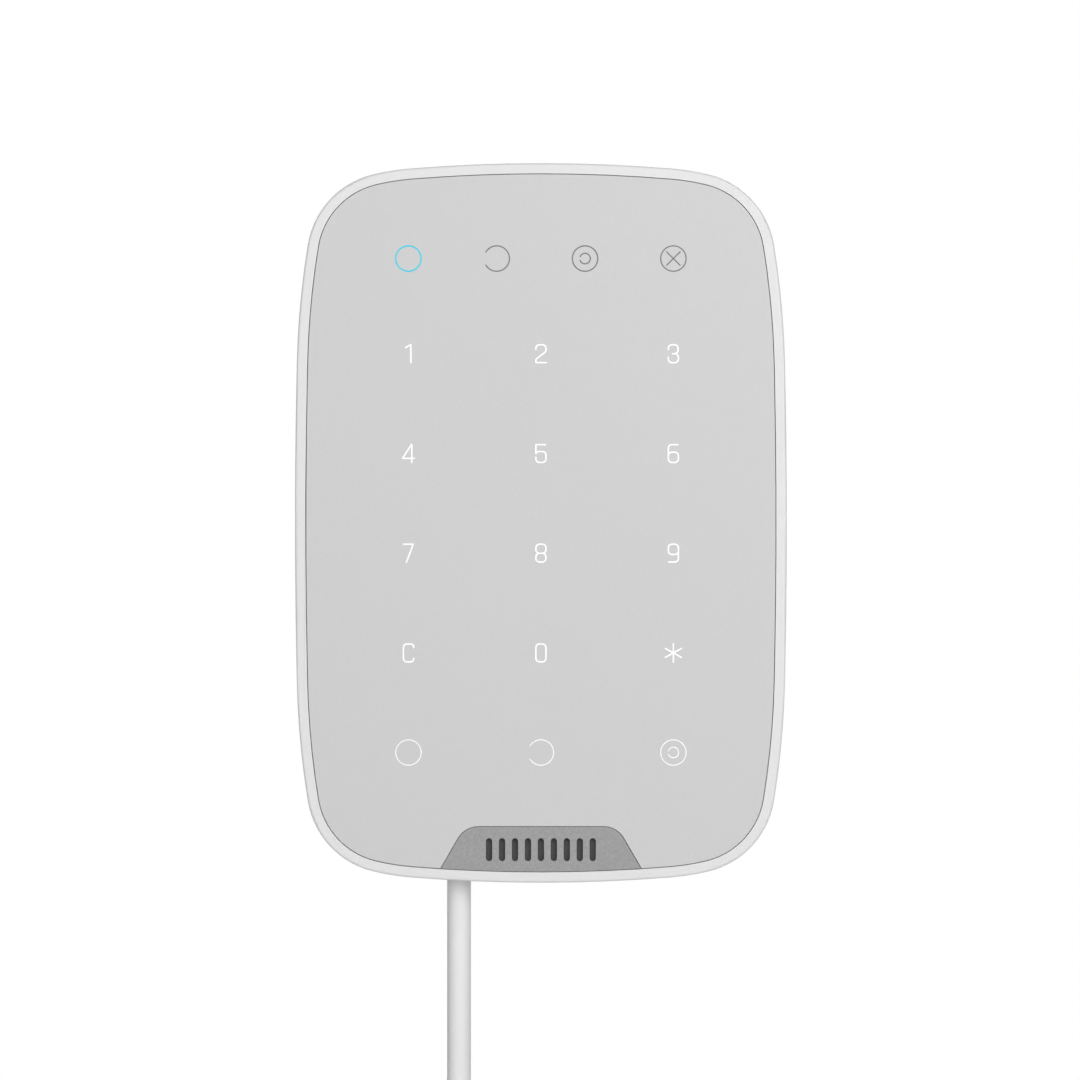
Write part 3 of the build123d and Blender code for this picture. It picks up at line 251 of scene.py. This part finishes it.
def moulded(name, colour, roughness, grain=0.18, depth=0.006, mottle=0.03, specular=0.5):
    """Moulded plastic: spark-eroded grain, a slight cloudiness, and roughness that varies with it."""
    finish = Finish(name, roughness, specular=specular)
    clouds = finish.noise(9, 3)
    finish.colour(finish.ramp(clouds, shade(colour, 1 - mottle), shade(colour, 1 + mottle)))
    finish.rough(finish.span(finish.noise(2.5, 4), roughness - 0.05, roughness + 0.05))
    finish.bump(finish.noise(grain, 3), depth)
    return finish


def metal(name, colour, roughness, stretch, depth=0.002):
    """Turned, drawn or plated metal, with fine marks along one axis."""
    finish = Finish(name, roughness, metallic=1.0)
    marks = finish.noise(0.12, 3, stretch)
    finish.colour(finish.ramp(marks, shade(colour, 0.86), shade(colour, 1.06)))
    finish.rough(finish.span(finish.noise(0.6, 3), roughness - 0.07, roughness + 0.1))
    finish.bump(marks, depth)
    return finish


def face_panel_finish():
    """Silk painted panel: neutral grey with a fine speckle and a soft sheen."""
    base = (0.585, 0.585, 0.585)
    finish = Finish("panel_plastic", 0.42, specular=0.45)
    speckle = finish.noise(0.35, 2)
    clouds = finish.noise(30, 2)
    flecks = finish.ramp(speckle, shade(base, 0.985), shade(base, 1.015), 0.3, 0.7)
    tinted = finish.mix(finish.span(clouds, 0.0, 0.2), flecks, shade(base, 1.02))
    finish.colour(tinted)
    finish.rough(finish.span(finish.noise(1.2, 3), 0.38, 0.46))
    finish.bump(finish.noise(0.25, 2), 0.0016)
    return finish.set(Coat_Weight=0.08, Coat_Roughness=0.25)


def inlay_finish(name, colour, glow, strength):
    """Translucent legend inlay: slightly uneven ink over a lit diffuser."""
    finish = Finish(name, 0.35)
    ink = finish.noise(0.3, 2)
    finish.colour(finish.ramp(ink, shade(colour, 0.97), shade(colour, 1.03)))
    finish.bump(ink, 0.001)
    return finish.set(Emission_Color=(*glow, 1), Emission_Strength=strength)


def badge_finish():
    """Sandblasted badge: coarse grain over a darker ground, its lighter flecks painted in as sparkle
    (painted glints) on top of the grain's own tone.
    """
    base = (0.315, 0.315, 0.318)
    finish = Finish("badge_plastic", 0.5, specular=0.5)
    grit = finish.noise(0.28, 4)
    pits = finish.noise(0.75, 2)
    # the lighter grit flecks in the base colour are partly the grain's own tone and partly painted glints
    ground = finish.ramp(grit, shade(base, 0.86), shade(base, 1.15), 0.32, 0.68)
    finish.colour(finish.mix(finish.span(pits, 0.0, 0.2), ground, shade(base, 0.85)))
    finish.rough(finish.span(grit, 0.42, 0.62))
    finish.bump(grit, 0.03)
    finish.bump(pits, 0.02)
    return finish


def weave(finish, pitch, axes):
    """A plain weave's height, from two crossed sets of rounded threads."""
    split = finish.add("ShaderNodeSeparateXYZ")
    finish.link(finish.place, split.inputs["Vector"])
    waves = []
    for axis in axes:
        phase = finish.math("MULTIPLY", split.outputs[axis], 2 * pi / pitch)
        waves.append(finish.math("SINE", phase))
    return finish.math("MULTIPLY", waves[0], waves[1])


def fabric_finish(name, colour, pitch, axes, depth):
    finish = Finish(name, 0.85, specular=0.2)
    threads = weave(finish, pitch, axes)
    # the thread tops are painted lighter and the dips between the threads darker: painted highlight and
    # painted shade across the weave
    height = finish.span(threads, 0.0, 1.0, -1.0, 1.0)
    finish.colour(finish.ramp(height, shade(colour, 0.6), shade(colour, 1.3)))
    finish.bump(threads, depth)
    finish.bump(finish.noise(0.15, 3), 0.03)
    return finish.set(Sheen_Weight=0.15)


def board_finish():
    """Green solder mask over copper traces, which show as slightly raised lighter lines."""
    finish = Finish("board", 0.32)
    tracks = finish.add("ShaderNodeTexBrick")
    for key, value in (("Scale", 1.0), ("Mortar Size", 0.16), ("Brick Width", 5.2), ("Row Height", 1.3)):
        tracks.inputs[key].default_value = value
    turned = finish.add("ShaderNodeMapping")
    turned.inputs["Rotation"].default_value = (pi / 2, 0, 0)
    finish.link(finish.place, turned.inputs["Vector"])
    finish.link(turned.outputs["Vector"], tracks.inputs["Vector"])
    mask = (0.012, 0.12, 0.05)
    finish.colour(finish.mix(tracks.outputs["Fac"], mask, (0.03, 0.22, 0.09)))
    finish.bump(tracks.outputs["Fac"], 0.02)
    finish.bump(finish.noise(0.8, 2), 0.01)
    return finish.set(Coat_Weight=0.3, Coat_Roughness=0.15)


def jacket_finish():
    """Drawn cable jacket: satin, with faint lengthwise unevenness and a trace of handling."""
    base = (0.79, 0.79, 0.79)
    finish = Finish("cable_jacket", 0.42, specular=0.4)
    wear = finish.noise(14, 3)
    finish.colour(finish.ramp(wear, shade(base, 0.975), shade(base, 1.02)))
    finish.rough(finish.span(finish.noise(1.5, 3), 0.36, 0.5))
    finish.bump(finish.noise(0.5, 2, (1, 1, 6)), 0.008)
    return finish


def paper_finish():
    """Blank matt label with a paper fibre."""
    finish = Finish("label", 0.75, specular=0.25)
    fibre = finish.noise(0.2, 4, (3, 1, 1))
    finish.colour(finish.ramp(fibre, (0.80, 0.80, 0.78), (0.88, 0.88, 0.86)))
    finish.bump(fibre, 0.006)
    return finish


def lamp_finish(name, colour):
    """A surface-mount lamp: a phosphor under a clear lens."""
    finish = Finish(name, 0.12)
    finish.colour(finish.ramp(finish.noise(0.3, 2), shade(colour, 0.9), shade(colour, 1.05)))
    finish.bump(finish.noise(0.4, 1), 0.01)
    return finish.set(Coat_Weight=0.8)


ACROSS = (8, 1, 1)
UPRIGHT = (1, 1, 8)
finishes = {
    "case_plastic": moulded("case_plastic", (0.735, 0.735, 0.733), 0.42, 0.3, 0.003, 0.006),
    "cover_plastic": moulded("cover_plastic", (0.74, 0.74, 0.735), 0.55, 0.22, 0.01, 0.015),
    "bracket_plastic": moulded("bracket_plastic", (0.70, 0.70, 0.695), 0.6, 0.25, 0.014, 0.012),
    "panel_plastic": face_panel_finish(),
    "badge_plastic": badge_finish(),
    "legend_white": inlay_finish("legend_white", (0.92, 0.92, 0.92), (1, 1, 1), 0.12),
    "legend_cyan": inlay_finish("legend_cyan", (0.0, 0.33, 0.43), (0.0, 0.72, 0.95), 0.36),
    "legend_grey": inlay_finish("legend_grey", (0.17, 0.17, 0.175), (0, 0, 0), 0.0),
    "mesh_cloth": fabric_finish("mesh_cloth", (0.12, 0.12, 0.12), 0.32, (0, 2), 0.06),
    "tie_black": fabric_finish("tie_black", (0.025, 0.025, 0.027), 0.7, (0, 1), 0.08),
    "diffuser": moulded("diffuser", (0.86, 0.86, 0.85), 0.5, 0.4, 0.004, 0.01).set(Subsurface_Weight=0.2),
    "black_plastic": moulded("black_plastic", (0.022, 0.022, 0.023), 0.45, 0.2, 0.01, 0.2),
    "white_plastic": moulded("white_plastic", (0.82, 0.82, 0.80), 0.4, 0.3, 0.004, 0.01),
    "terminal_green": moulded("terminal_green", (0.035, 0.24, 0.09), 0.45, 0.2, 0.008, 0.08),
    "chip_black": moulded("chip_black", (0.03, 0.03, 0.031), 0.6, 0.12, 0.008, 0.15),
    "ferrite": moulded("ferrite", (0.05, 0.05, 0.055), 0.7, 0.15, 0.02, 0.2),
    "adhesive": moulded("adhesive", (0.05, 0.05, 0.05), 0.8, 0.3, 0.03, 0.1),
    "tie_nylon": moulded("tie_nylon", (0.74, 0.73, 0.68), 0.4, 0.4, 0.004, 0.02).set(Subsurface_Weight=0.15),
    "core_red": moulded("core_red", (0.50, 0.02, 0.015), 0.38, 0.3, 0.003, 0.05),
    "core_black": moulded("core_black", (0.018, 0.018, 0.018), 0.38, 0.3, 0.003, 0.1),
    "core_green": moulded("core_green", (0.02, 0.26, 0.05), 0.38, 0.3, 0.003, 0.05),
    "core_yellow": moulded("core_yellow", (0.68, 0.47, 0.02), 0.38, 0.3, 0.003, 0.04),
    "board": board_finish(),
    "led_white": lamp_finish("led_white", (0.88, 0.84, 0.50)),
    "led_cyan": lamp_finish("led_cyan", (0.62, 0.85, 0.90)),
    "copper": metal("copper", (0.86, 0.45, 0.28), 0.3, UPRIGHT),
    "steel": metal("steel", (0.66, 0.66, 0.67), 0.34, ACROSS),
    "spring_steel": metal("spring_steel", (0.58, 0.58, 0.60), 0.3, UPRIGHT),
    "brass": metal("brass", (0.80, 0.60, 0.26), 0.3, UPRIGHT),
    "capacitor_metal": metal("capacitor_metal", (0.78, 0.78, 0.79), 0.28, ACROSS),
    "label": paper_finish(),
    "cable_jacket": jacket_finish(),
}

for node, part in nodes.items():
    part.data.materials.clear()
    part.data.materials.append(finishes[slot_of[node]].material)

# ---------------------------------------------------------------- pieces


def new_piece(name, mesh_or_curve, slot_name, body="keypad"):
    piece = bpy.data.objects.new(name, mesh_or_curve)
    bpy.context.collection.objects.link(piece)
    piece.data.materials.clear()
    piece.data.materials.append(finishes[slot_name].material)
    if body:
        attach(piece, body)
    return piece


JOIN_DISTANCE = 0.002
FLAT_ANGLE = 0.5
NORMAL_WEIGHT = 80


def clean_copy(node):
    """A copy of a CAD node's mesh with its shared corners joined and its flat faces made whole."""
    mesh = nodes[node].data.copy()
    work = bmesh.new()
    work.from_mesh(mesh)
    bmesh.ops.remove_doubles(work, verts=work.verts, dist=JOIN_DISTANCE * MM)
    bmesh.ops.dissolve_limit(
        work,
        angle_limit=radians(FLAT_ANGLE),
        use_dissolve_boundaries=False,
        verts=work.verts,
        edges=work.edges,
    )
    for face in work.faces:
        face.smooth = True
    work.to_mesh(mesh)
    work.free()
    return mesh


def rounded(node, width, segments=2, angle=32):
    """The CAD node with its edges sharper than the angle rounded, as on a moulded or machined piece."""
    piece = new_piece(f"{node}_finished", clean_copy(node), slot_of[node], body_of[node])
    bevel = piece.modifiers.new("edges", "BEVEL")
    bevel.width = width * MM
    bevel.segments = segments
    bevel.limit_method = "ANGLE"
    bevel.angle_limit = radians(angle)
    bevel.harden_normals = False
    normals = piece.modifiers.new("normals", "WEIGHTED_NORMAL")
    normals.keep_sharp = True
    normals.weight = NORMAL_WEIGHT
    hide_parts(node)
    return piece


for node, width, segments in [
    ("front_case", 0.12, 3),
    ("rear_cover", 0.2, 2),
    ("wall_bracket", 0.25, 2),
    ("badge_plate", 0.16, 2),
    ("terminal_block", 0.2, 2),
    ("terminal_screws", 0.08, 1),
    ("tamper_switch", 0.15, 2),
    ("tamper_plunger", 0.1, 2),
    ("cable_tie", 0.08, 2),
    ("id_label", 0.02, 1),
    ("light_shroud", 0.1, 1),
    ("light_diffuser", 0.1, 1),
    ("main_board", 0.06, 1),
    ("sounder", 0.08, 1),
    ("processor_chip", 0.03, 1),
    ("touch_controllers", 0.03, 1),
    ("capacitors", 0.15, 2),
    ("inductor", 0.15, 2),
    ("cover_screws", 0.08, 1),
    ("board_screws", 0.08, 1),
    ("locking_screw", 0.1, 1),
    ("screw_insert", 0.08, 1),
]:
    rounded(node, width, segments)

SPRING_WIRE = 0.22
SPRING_END_TURNS = 0.8
SPRING_OPEN_TURNS = 2.0
SPRING_STEPS = 28
WIRE_SIDES = 10


def helix_spring():
    """The plunger's return spring: a helix of round wire whose end turns are closed."""
    low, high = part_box("tamper_spring")
    wire = SPRING_WIRE * MM / 2
    radius = (high.x - low.x) / 2 - wire
    centre = Vector(((low.x + high.x) / 2, 0, (low.z + high.z) / 2))
    closed = 2 * wire * SPRING_END_TURNS
    opening = (high.y - low.y) - 2 * wire - 2 * closed
    work = bmesh.new()
    rows = []
    for number in range(round((2 * SPRING_END_TURNS + SPRING_OPEN_TURNS) * SPRING_STEPS) + 1):
        turn = number / SPRING_STEPS
        share = min(1, max(0, (turn - SPRING_END_TURNS) / SPRING_OPEN_TURNS))
        lead = min(turn, SPRING_END_TURNS) + max(0, turn - SPRING_END_TURNS - SPRING_OPEN_TURNS)
        outward = Vector((cos(2 * pi * turn), 0, sin(2 * pi * turn)))
        depth = low.y + wire + 2 * wire * lead + opening * share
        middle = centre + outward * radius + Vector((0, depth, 0))
        ring = []
        for side in range(WIRE_SIDES):
            a = 2 * pi * side / WIRE_SIDES
            ring.append(work.verts.new(middle + outward * wire * cos(a) + Vector((0, wire * sin(a), 0))))
        rows.append(ring)
    for first, second in zip(rows, rows[1:]):
        for side in range(WIRE_SIDES):
            after = (side + 1) % WIRE_SIDES
            work.faces.new((first[side], first[after], second[after], second[side]))
    work.faces.new(rows[0][::-1])
    work.faces.new(rows[-1])
    bmesh.ops.recalc_face_normals(work, faces=work.faces)
    for face in work.faces:
        face.smooth = len(face.verts) == 4
    mesh = bpy.data.meshes.new("tamper_spring_wire")
    work.to_mesh(mesh)
    work.free()
    return mesh


spring = new_piece("tamper_spring_wire", helix_spring(), "spring_steel", body=None)
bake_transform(spring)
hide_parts("tamper_spring")

LEGEND_PEN = 0.22
LIT_RING_WIDTH = 0.3
LIT_RING_STEPS = 96


def lit_ring():
    """The lit status ring, which spreads a little over the edges of its pocket."""
    low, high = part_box("armed_status_ring")
    centre = (low + high) / 2
    middle_radius = (high.x - low.x) / 2 - LEGEND_PEN * MM / 2
    edges = (middle_radius - LIT_RING_WIDTH * MM / 2, middle_radius + LIT_RING_WIDTH * MM / 2)
    work = bmesh.new()
    rows = []
    for number in range(LIT_RING_STEPS):
        angle = 2 * pi * number / LIT_RING_STEPS
        places = [(edges[0], high.y), (edges[1], high.y), (edges[1], low.y), (edges[0], low.y)]
        ring = []
        for r, y in places:
            ring.append(work.verts.new((centre.x + r * cos(angle), y, centre.z + r * sin(angle))))
        rows.append(ring)
    for before, after in zip(rows, rows[1:] + rows[:1]):
        for side in range(4):
            beside = (side + 1) % 4
            work.faces.new((before[side], before[beside], after[beside], after[side]))
    bmesh.ops.recalc_face_normals(work, faces=work.faces)
    mesh = bpy.data.meshes.new("lit_ring")
    work.to_mesh(mesh)
    work.free()
    return mesh


armed_ring = new_piece("armed_status_ring_lit", lit_ring(), "legend_cyan")
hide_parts("armed_status_ring")

# ---------------------------------------------------------------- the bus cable, its coil, tie and cores

CABLE_X = -17.2
CABLE_DEPTH = 3.4
CABLE_DIAMETER = 5.0
COIL_CENTRE = (-11.27, -202.34)
TURN_RADII = (32.5, 27.5)
STACK_ANGLE = 60
STEPS_PER_TURN = 24
ENTRY_ANGLE = 144
LEAVE_ANGLE = 180 + 4 * 360
RISE = (35, 85)
SHIFT = (95, 140)


def ease(value, low, high):
    """0 below low, 1 above high, and smooth between them."""
    t = min(1.0, max(0.0, (value - low) / (high - low)))
    return t * t * (3 - 2 * t)


def coil_place(angle):
    """The cable's distance from the coil's centre and its depth, at this total angle round the coil."""
    shifts = [ease(angle, 360 * k + SHIFT[0], 360 * k + SHIFT[1]) for k in (1, 2)]
    if angle < 3 * 360 + RISE[0]:
        return TURN_RADII[0] - CABLE_DIAMETER * sum(shifts), CABLE_DEPTH
    # the last turns climb round the turn below them, and then lie in the grooves
    climbs = [ease(angle, 360 * k + RISE[0], 360 * k + RISE[1]) for k in (3, 4)]
    around = radians(STACK_ANGLE * sum(climbs))
    radius = TURN_RADII[1] - CABLE_DIAMETER * cos(around)
    depth = CABLE_DEPTH + CABLE_DIAMETER * sin(around)
    beat = angle % 360
    if SHIFT[0] < beat < SHIFT[1]:
        off = abs(CABLE_DIAMETER / 2 - CABLE_DIAMETER * ease(beat, *SHIFT))
        depth = CABLE_DEPTH + sqrt(CABLE_DIAMETER**2 - off**2)
    return radius, depth


STRAIGHT_END = -101.0
BEND_POINT = (CABLE_X, -CABLE_DEPTH, -131.0)
LEAN = (-26.39, -CABLE_DEPTH, -167.87)
JACKET_END = -60.0
points = [
    (CABLE_X, -CABLE_DEPTH, JACKET_END),
    (CABLE_X, -CABLE_DEPTH, STRAIGHT_END),
    BEND_POINT,
    LEAN,
]
step = 360 / STEPS_PER_TURN
outward = 1 / cos(pi / STEPS_PER_TURN)
count = round((LEAVE_ANGLE - ENTRY_ANGLE) / step)
for number in range(count + 1):
    angle = ENTRY_ANGLE + number * step
    radius, depth = coil_place(angle)
    across = radius * outward * cos(radians(angle))
    up = radius * outward * sin(radians(angle))
    points.append((COIL_CENTRE[0] + across, -depth, COIL_CENTRE[1] + up))
TAIL_X = COIL_CENTRE[0] - 30.0
TAIL_END = COIL_CENTRE[1] - 40.0
TAIL_LIFT = 4.33
points += [
    (TAIL_X, -CABLE_DEPTH - 5.0, COIL_CENTRE[1] - 14),
    (TAIL_X, -CABLE_DEPTH - 4.6, COIL_CENTRE[1] - 27),
    (TAIL_X, -CABLE_DEPTH - TAIL_LIFT, TAIL_END),
]
CURVE_STEPS = 6


def tube(name, line, diameter, slot_name, body="keypad", resolution=8):
    """A round cord along a smooth line through millimetre points, its ends closed."""
    curve = bpy.data.curves.new(name, "CURVE")
    curve.dimensions = "3D"
    curve.bevel_depth = diameter / 2 * MM
    curve.bevel_resolution = resolution
    curve.use_fill_caps = True
    curve.resolution_u = CURVE_STEPS
    spline = curve.splines.new("NURBS")
    spline.points.add(len(line) - 1)
    for point, place in zip(spline.points, line):
        point.co = (*(Vector(place) * MM), 1)
    spline.order_u = 3
    spline.use_endpoint_u = True
    return new_piece(name, curve, slot_name, body)


bus_cable = tube("bus_cable_line", points, CABLE_DIAMETER, "cable_jacket")
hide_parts("bus_cable", "bus_cable_coil", "bus_cable_tail")

STRAP_THICKNESS = 0.7
STRAP_SAMPLES = 96
STRAP_EDGE = 0.15
LAP_INSET = 0.3
LAP_SHARES = (-0.12, 0.17)
LAP_SINK = 0.02
# the turns that pass through the strap at the top of the coil: distance from the coil's centre and depth
STRAPPED_TURNS = ((32.5, 3.4), (27.5, 3.4), (25.0, 7.73), (30.0, 7.73))


def strap_band(work, x_low, x_high, first, last, inner, outer, closed):
    """A band drawn tight round the strapped turns, between two shares of the way round them."""
    rows = []
    steps = round(STRAP_SAMPLES * (last - first))
    for number in range(steps + (0 if closed else 1)):
        angle = 2 * pi * (first + (last - first) * number / steps)
        up, out = sin(angle), cos(angle)
        turn = max(STRAPPED_TURNS, key=lambda place: place[0] * up + place[1] * out)
        ring = []
        for x, grow in ((x_low, inner), (x_high, inner), (x_high, outer), (x_low, outer)):
            reach = CABLE_DIAMETER / 2 + grow
            z = COIL_CENTRE[1] + turn[0] + reach * up
            ring.append(work.verts.new(Vector((x, -(turn[1] + reach * out), z)) * MM))
        rows.append(ring)
    pairs = list(zip(rows, rows[1:]))
    if closed:
        pairs.append((rows[-1], rows[0]))
    for before, after in pairs:
        for side in range(4):
            beside = (side + 1) % 4
            work.faces.new((before[side], before[beside], after[beside], after[side]))
    if not closed:
        work.faces.new(rows[0][::-1])
        work.faces.new(rows[-1])


def coil_strap():
    """A hook-and-loop strap round the bundled turns, its free end lapped over itself on the front."""
    low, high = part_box("coil_tie")
    work = bmesh.new()
    x_low, x_high = low.x / MM, high.x / MM
    strap_band(work, x_low, x_high, 0, 1, 0.0, STRAP_THICKNESS, True)
    lap_from, lap_to = x_low + LAP_INSET, x_high - LAP_INSET
    lap_inner, lap_outer = STRAP_THICKNESS - LAP_SINK, 2 * STRAP_THICKNESS
    strap_band(work, lap_from, lap_to, *LAP_SHARES, lap_inner, lap_outer, False)
    bmesh.ops.recalc_face_normals(work, faces=work.faces)
    mesh = bpy.data.meshes.new("coil_strap")
    work.to_mesh(mesh)
    work.free()
    strap = new_piece("coil_strap", mesh, "tie_black", "keypad")
    bevel = strap.modifiers.new("edges", "BEVEL")
    bevel.width = STRAP_EDGE * MM
    bevel.segments = 2
    bevel.angle_limit = radians(40)
    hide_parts("coil_tie")
    return strap


coil_tie = coil_strap()

CORE_DIAMETER = 1.2
COPPER_SHARE = 0.55
CORE_OFFSETS = [(-0.85, -0.85), (0.85, -0.85), (-0.85, 0.85), (0.85, 0.85)]
core_pieces = []
for slot_name, (side, out) in zip(("core_red", "core_black", "core_green", "core_yellow"), CORE_OFFSETS):
    start = Vector((TAIL_X + side, -CABLE_DEPTH - TAIL_LIFT + out, TAIL_END + 1.0))
    splay = Vector((side, out, 0))
    line = [start, start + Vector((0, 0, -2.5)), start + splay * 0.6 + Vector((0, 0, -6.5))]
    core_pieces.append(tube(f"tail_{slot_name}", line, CORE_DIAMETER, slot_name, resolution=5))
    tip = [line[-1] + (line[-2] - line[-1]) * 0.1, line[-1] + splay * 0.1 + Vector((0, 0, -4.0))]
    strand = [tip[0], (tip[0] + tip[1]) / 2, tip[1]]
    copper = tube(f"tail_{slot_name}_copper", strand, CORE_DIAMETER * COPPER_SHARE, "copper", resolution=4)
    core_pieces.append(copper)
for piece in core_pieces:
    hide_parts("tail_cores")

# ---------------------------------------------------------------- floor

FLOOR_DROP = 0.05
FLOOR_HALF = 1.6
floor_z = cad_low.z - FLOOR_DROP
floor_mesh = bpy.data.meshes.new("floor")
signs = ((-1, -1), (1, -1), (1, 1), (-1, 1))
corners = [(across * FLOOR_HALF, away * FLOOR_HALF, floor_z) for across, away in signs]
floor_mesh.from_pydata(corners, [], [(0, 1, 2, 3)])
floor = bpy.data.objects.new("floor", floor_mesh)
bpy.context.collection.objects.link(floor)
floor_finish = Finish("floor", 0.9, specular=0.1)
floor_finish.colour(floor_finish.ramp(floor_finish.noise(400, 2), (0.80, 0.80, 0.80), (0.84, 0.84, 0.84)))
floor_mesh.materials.append(floor_finish.material)
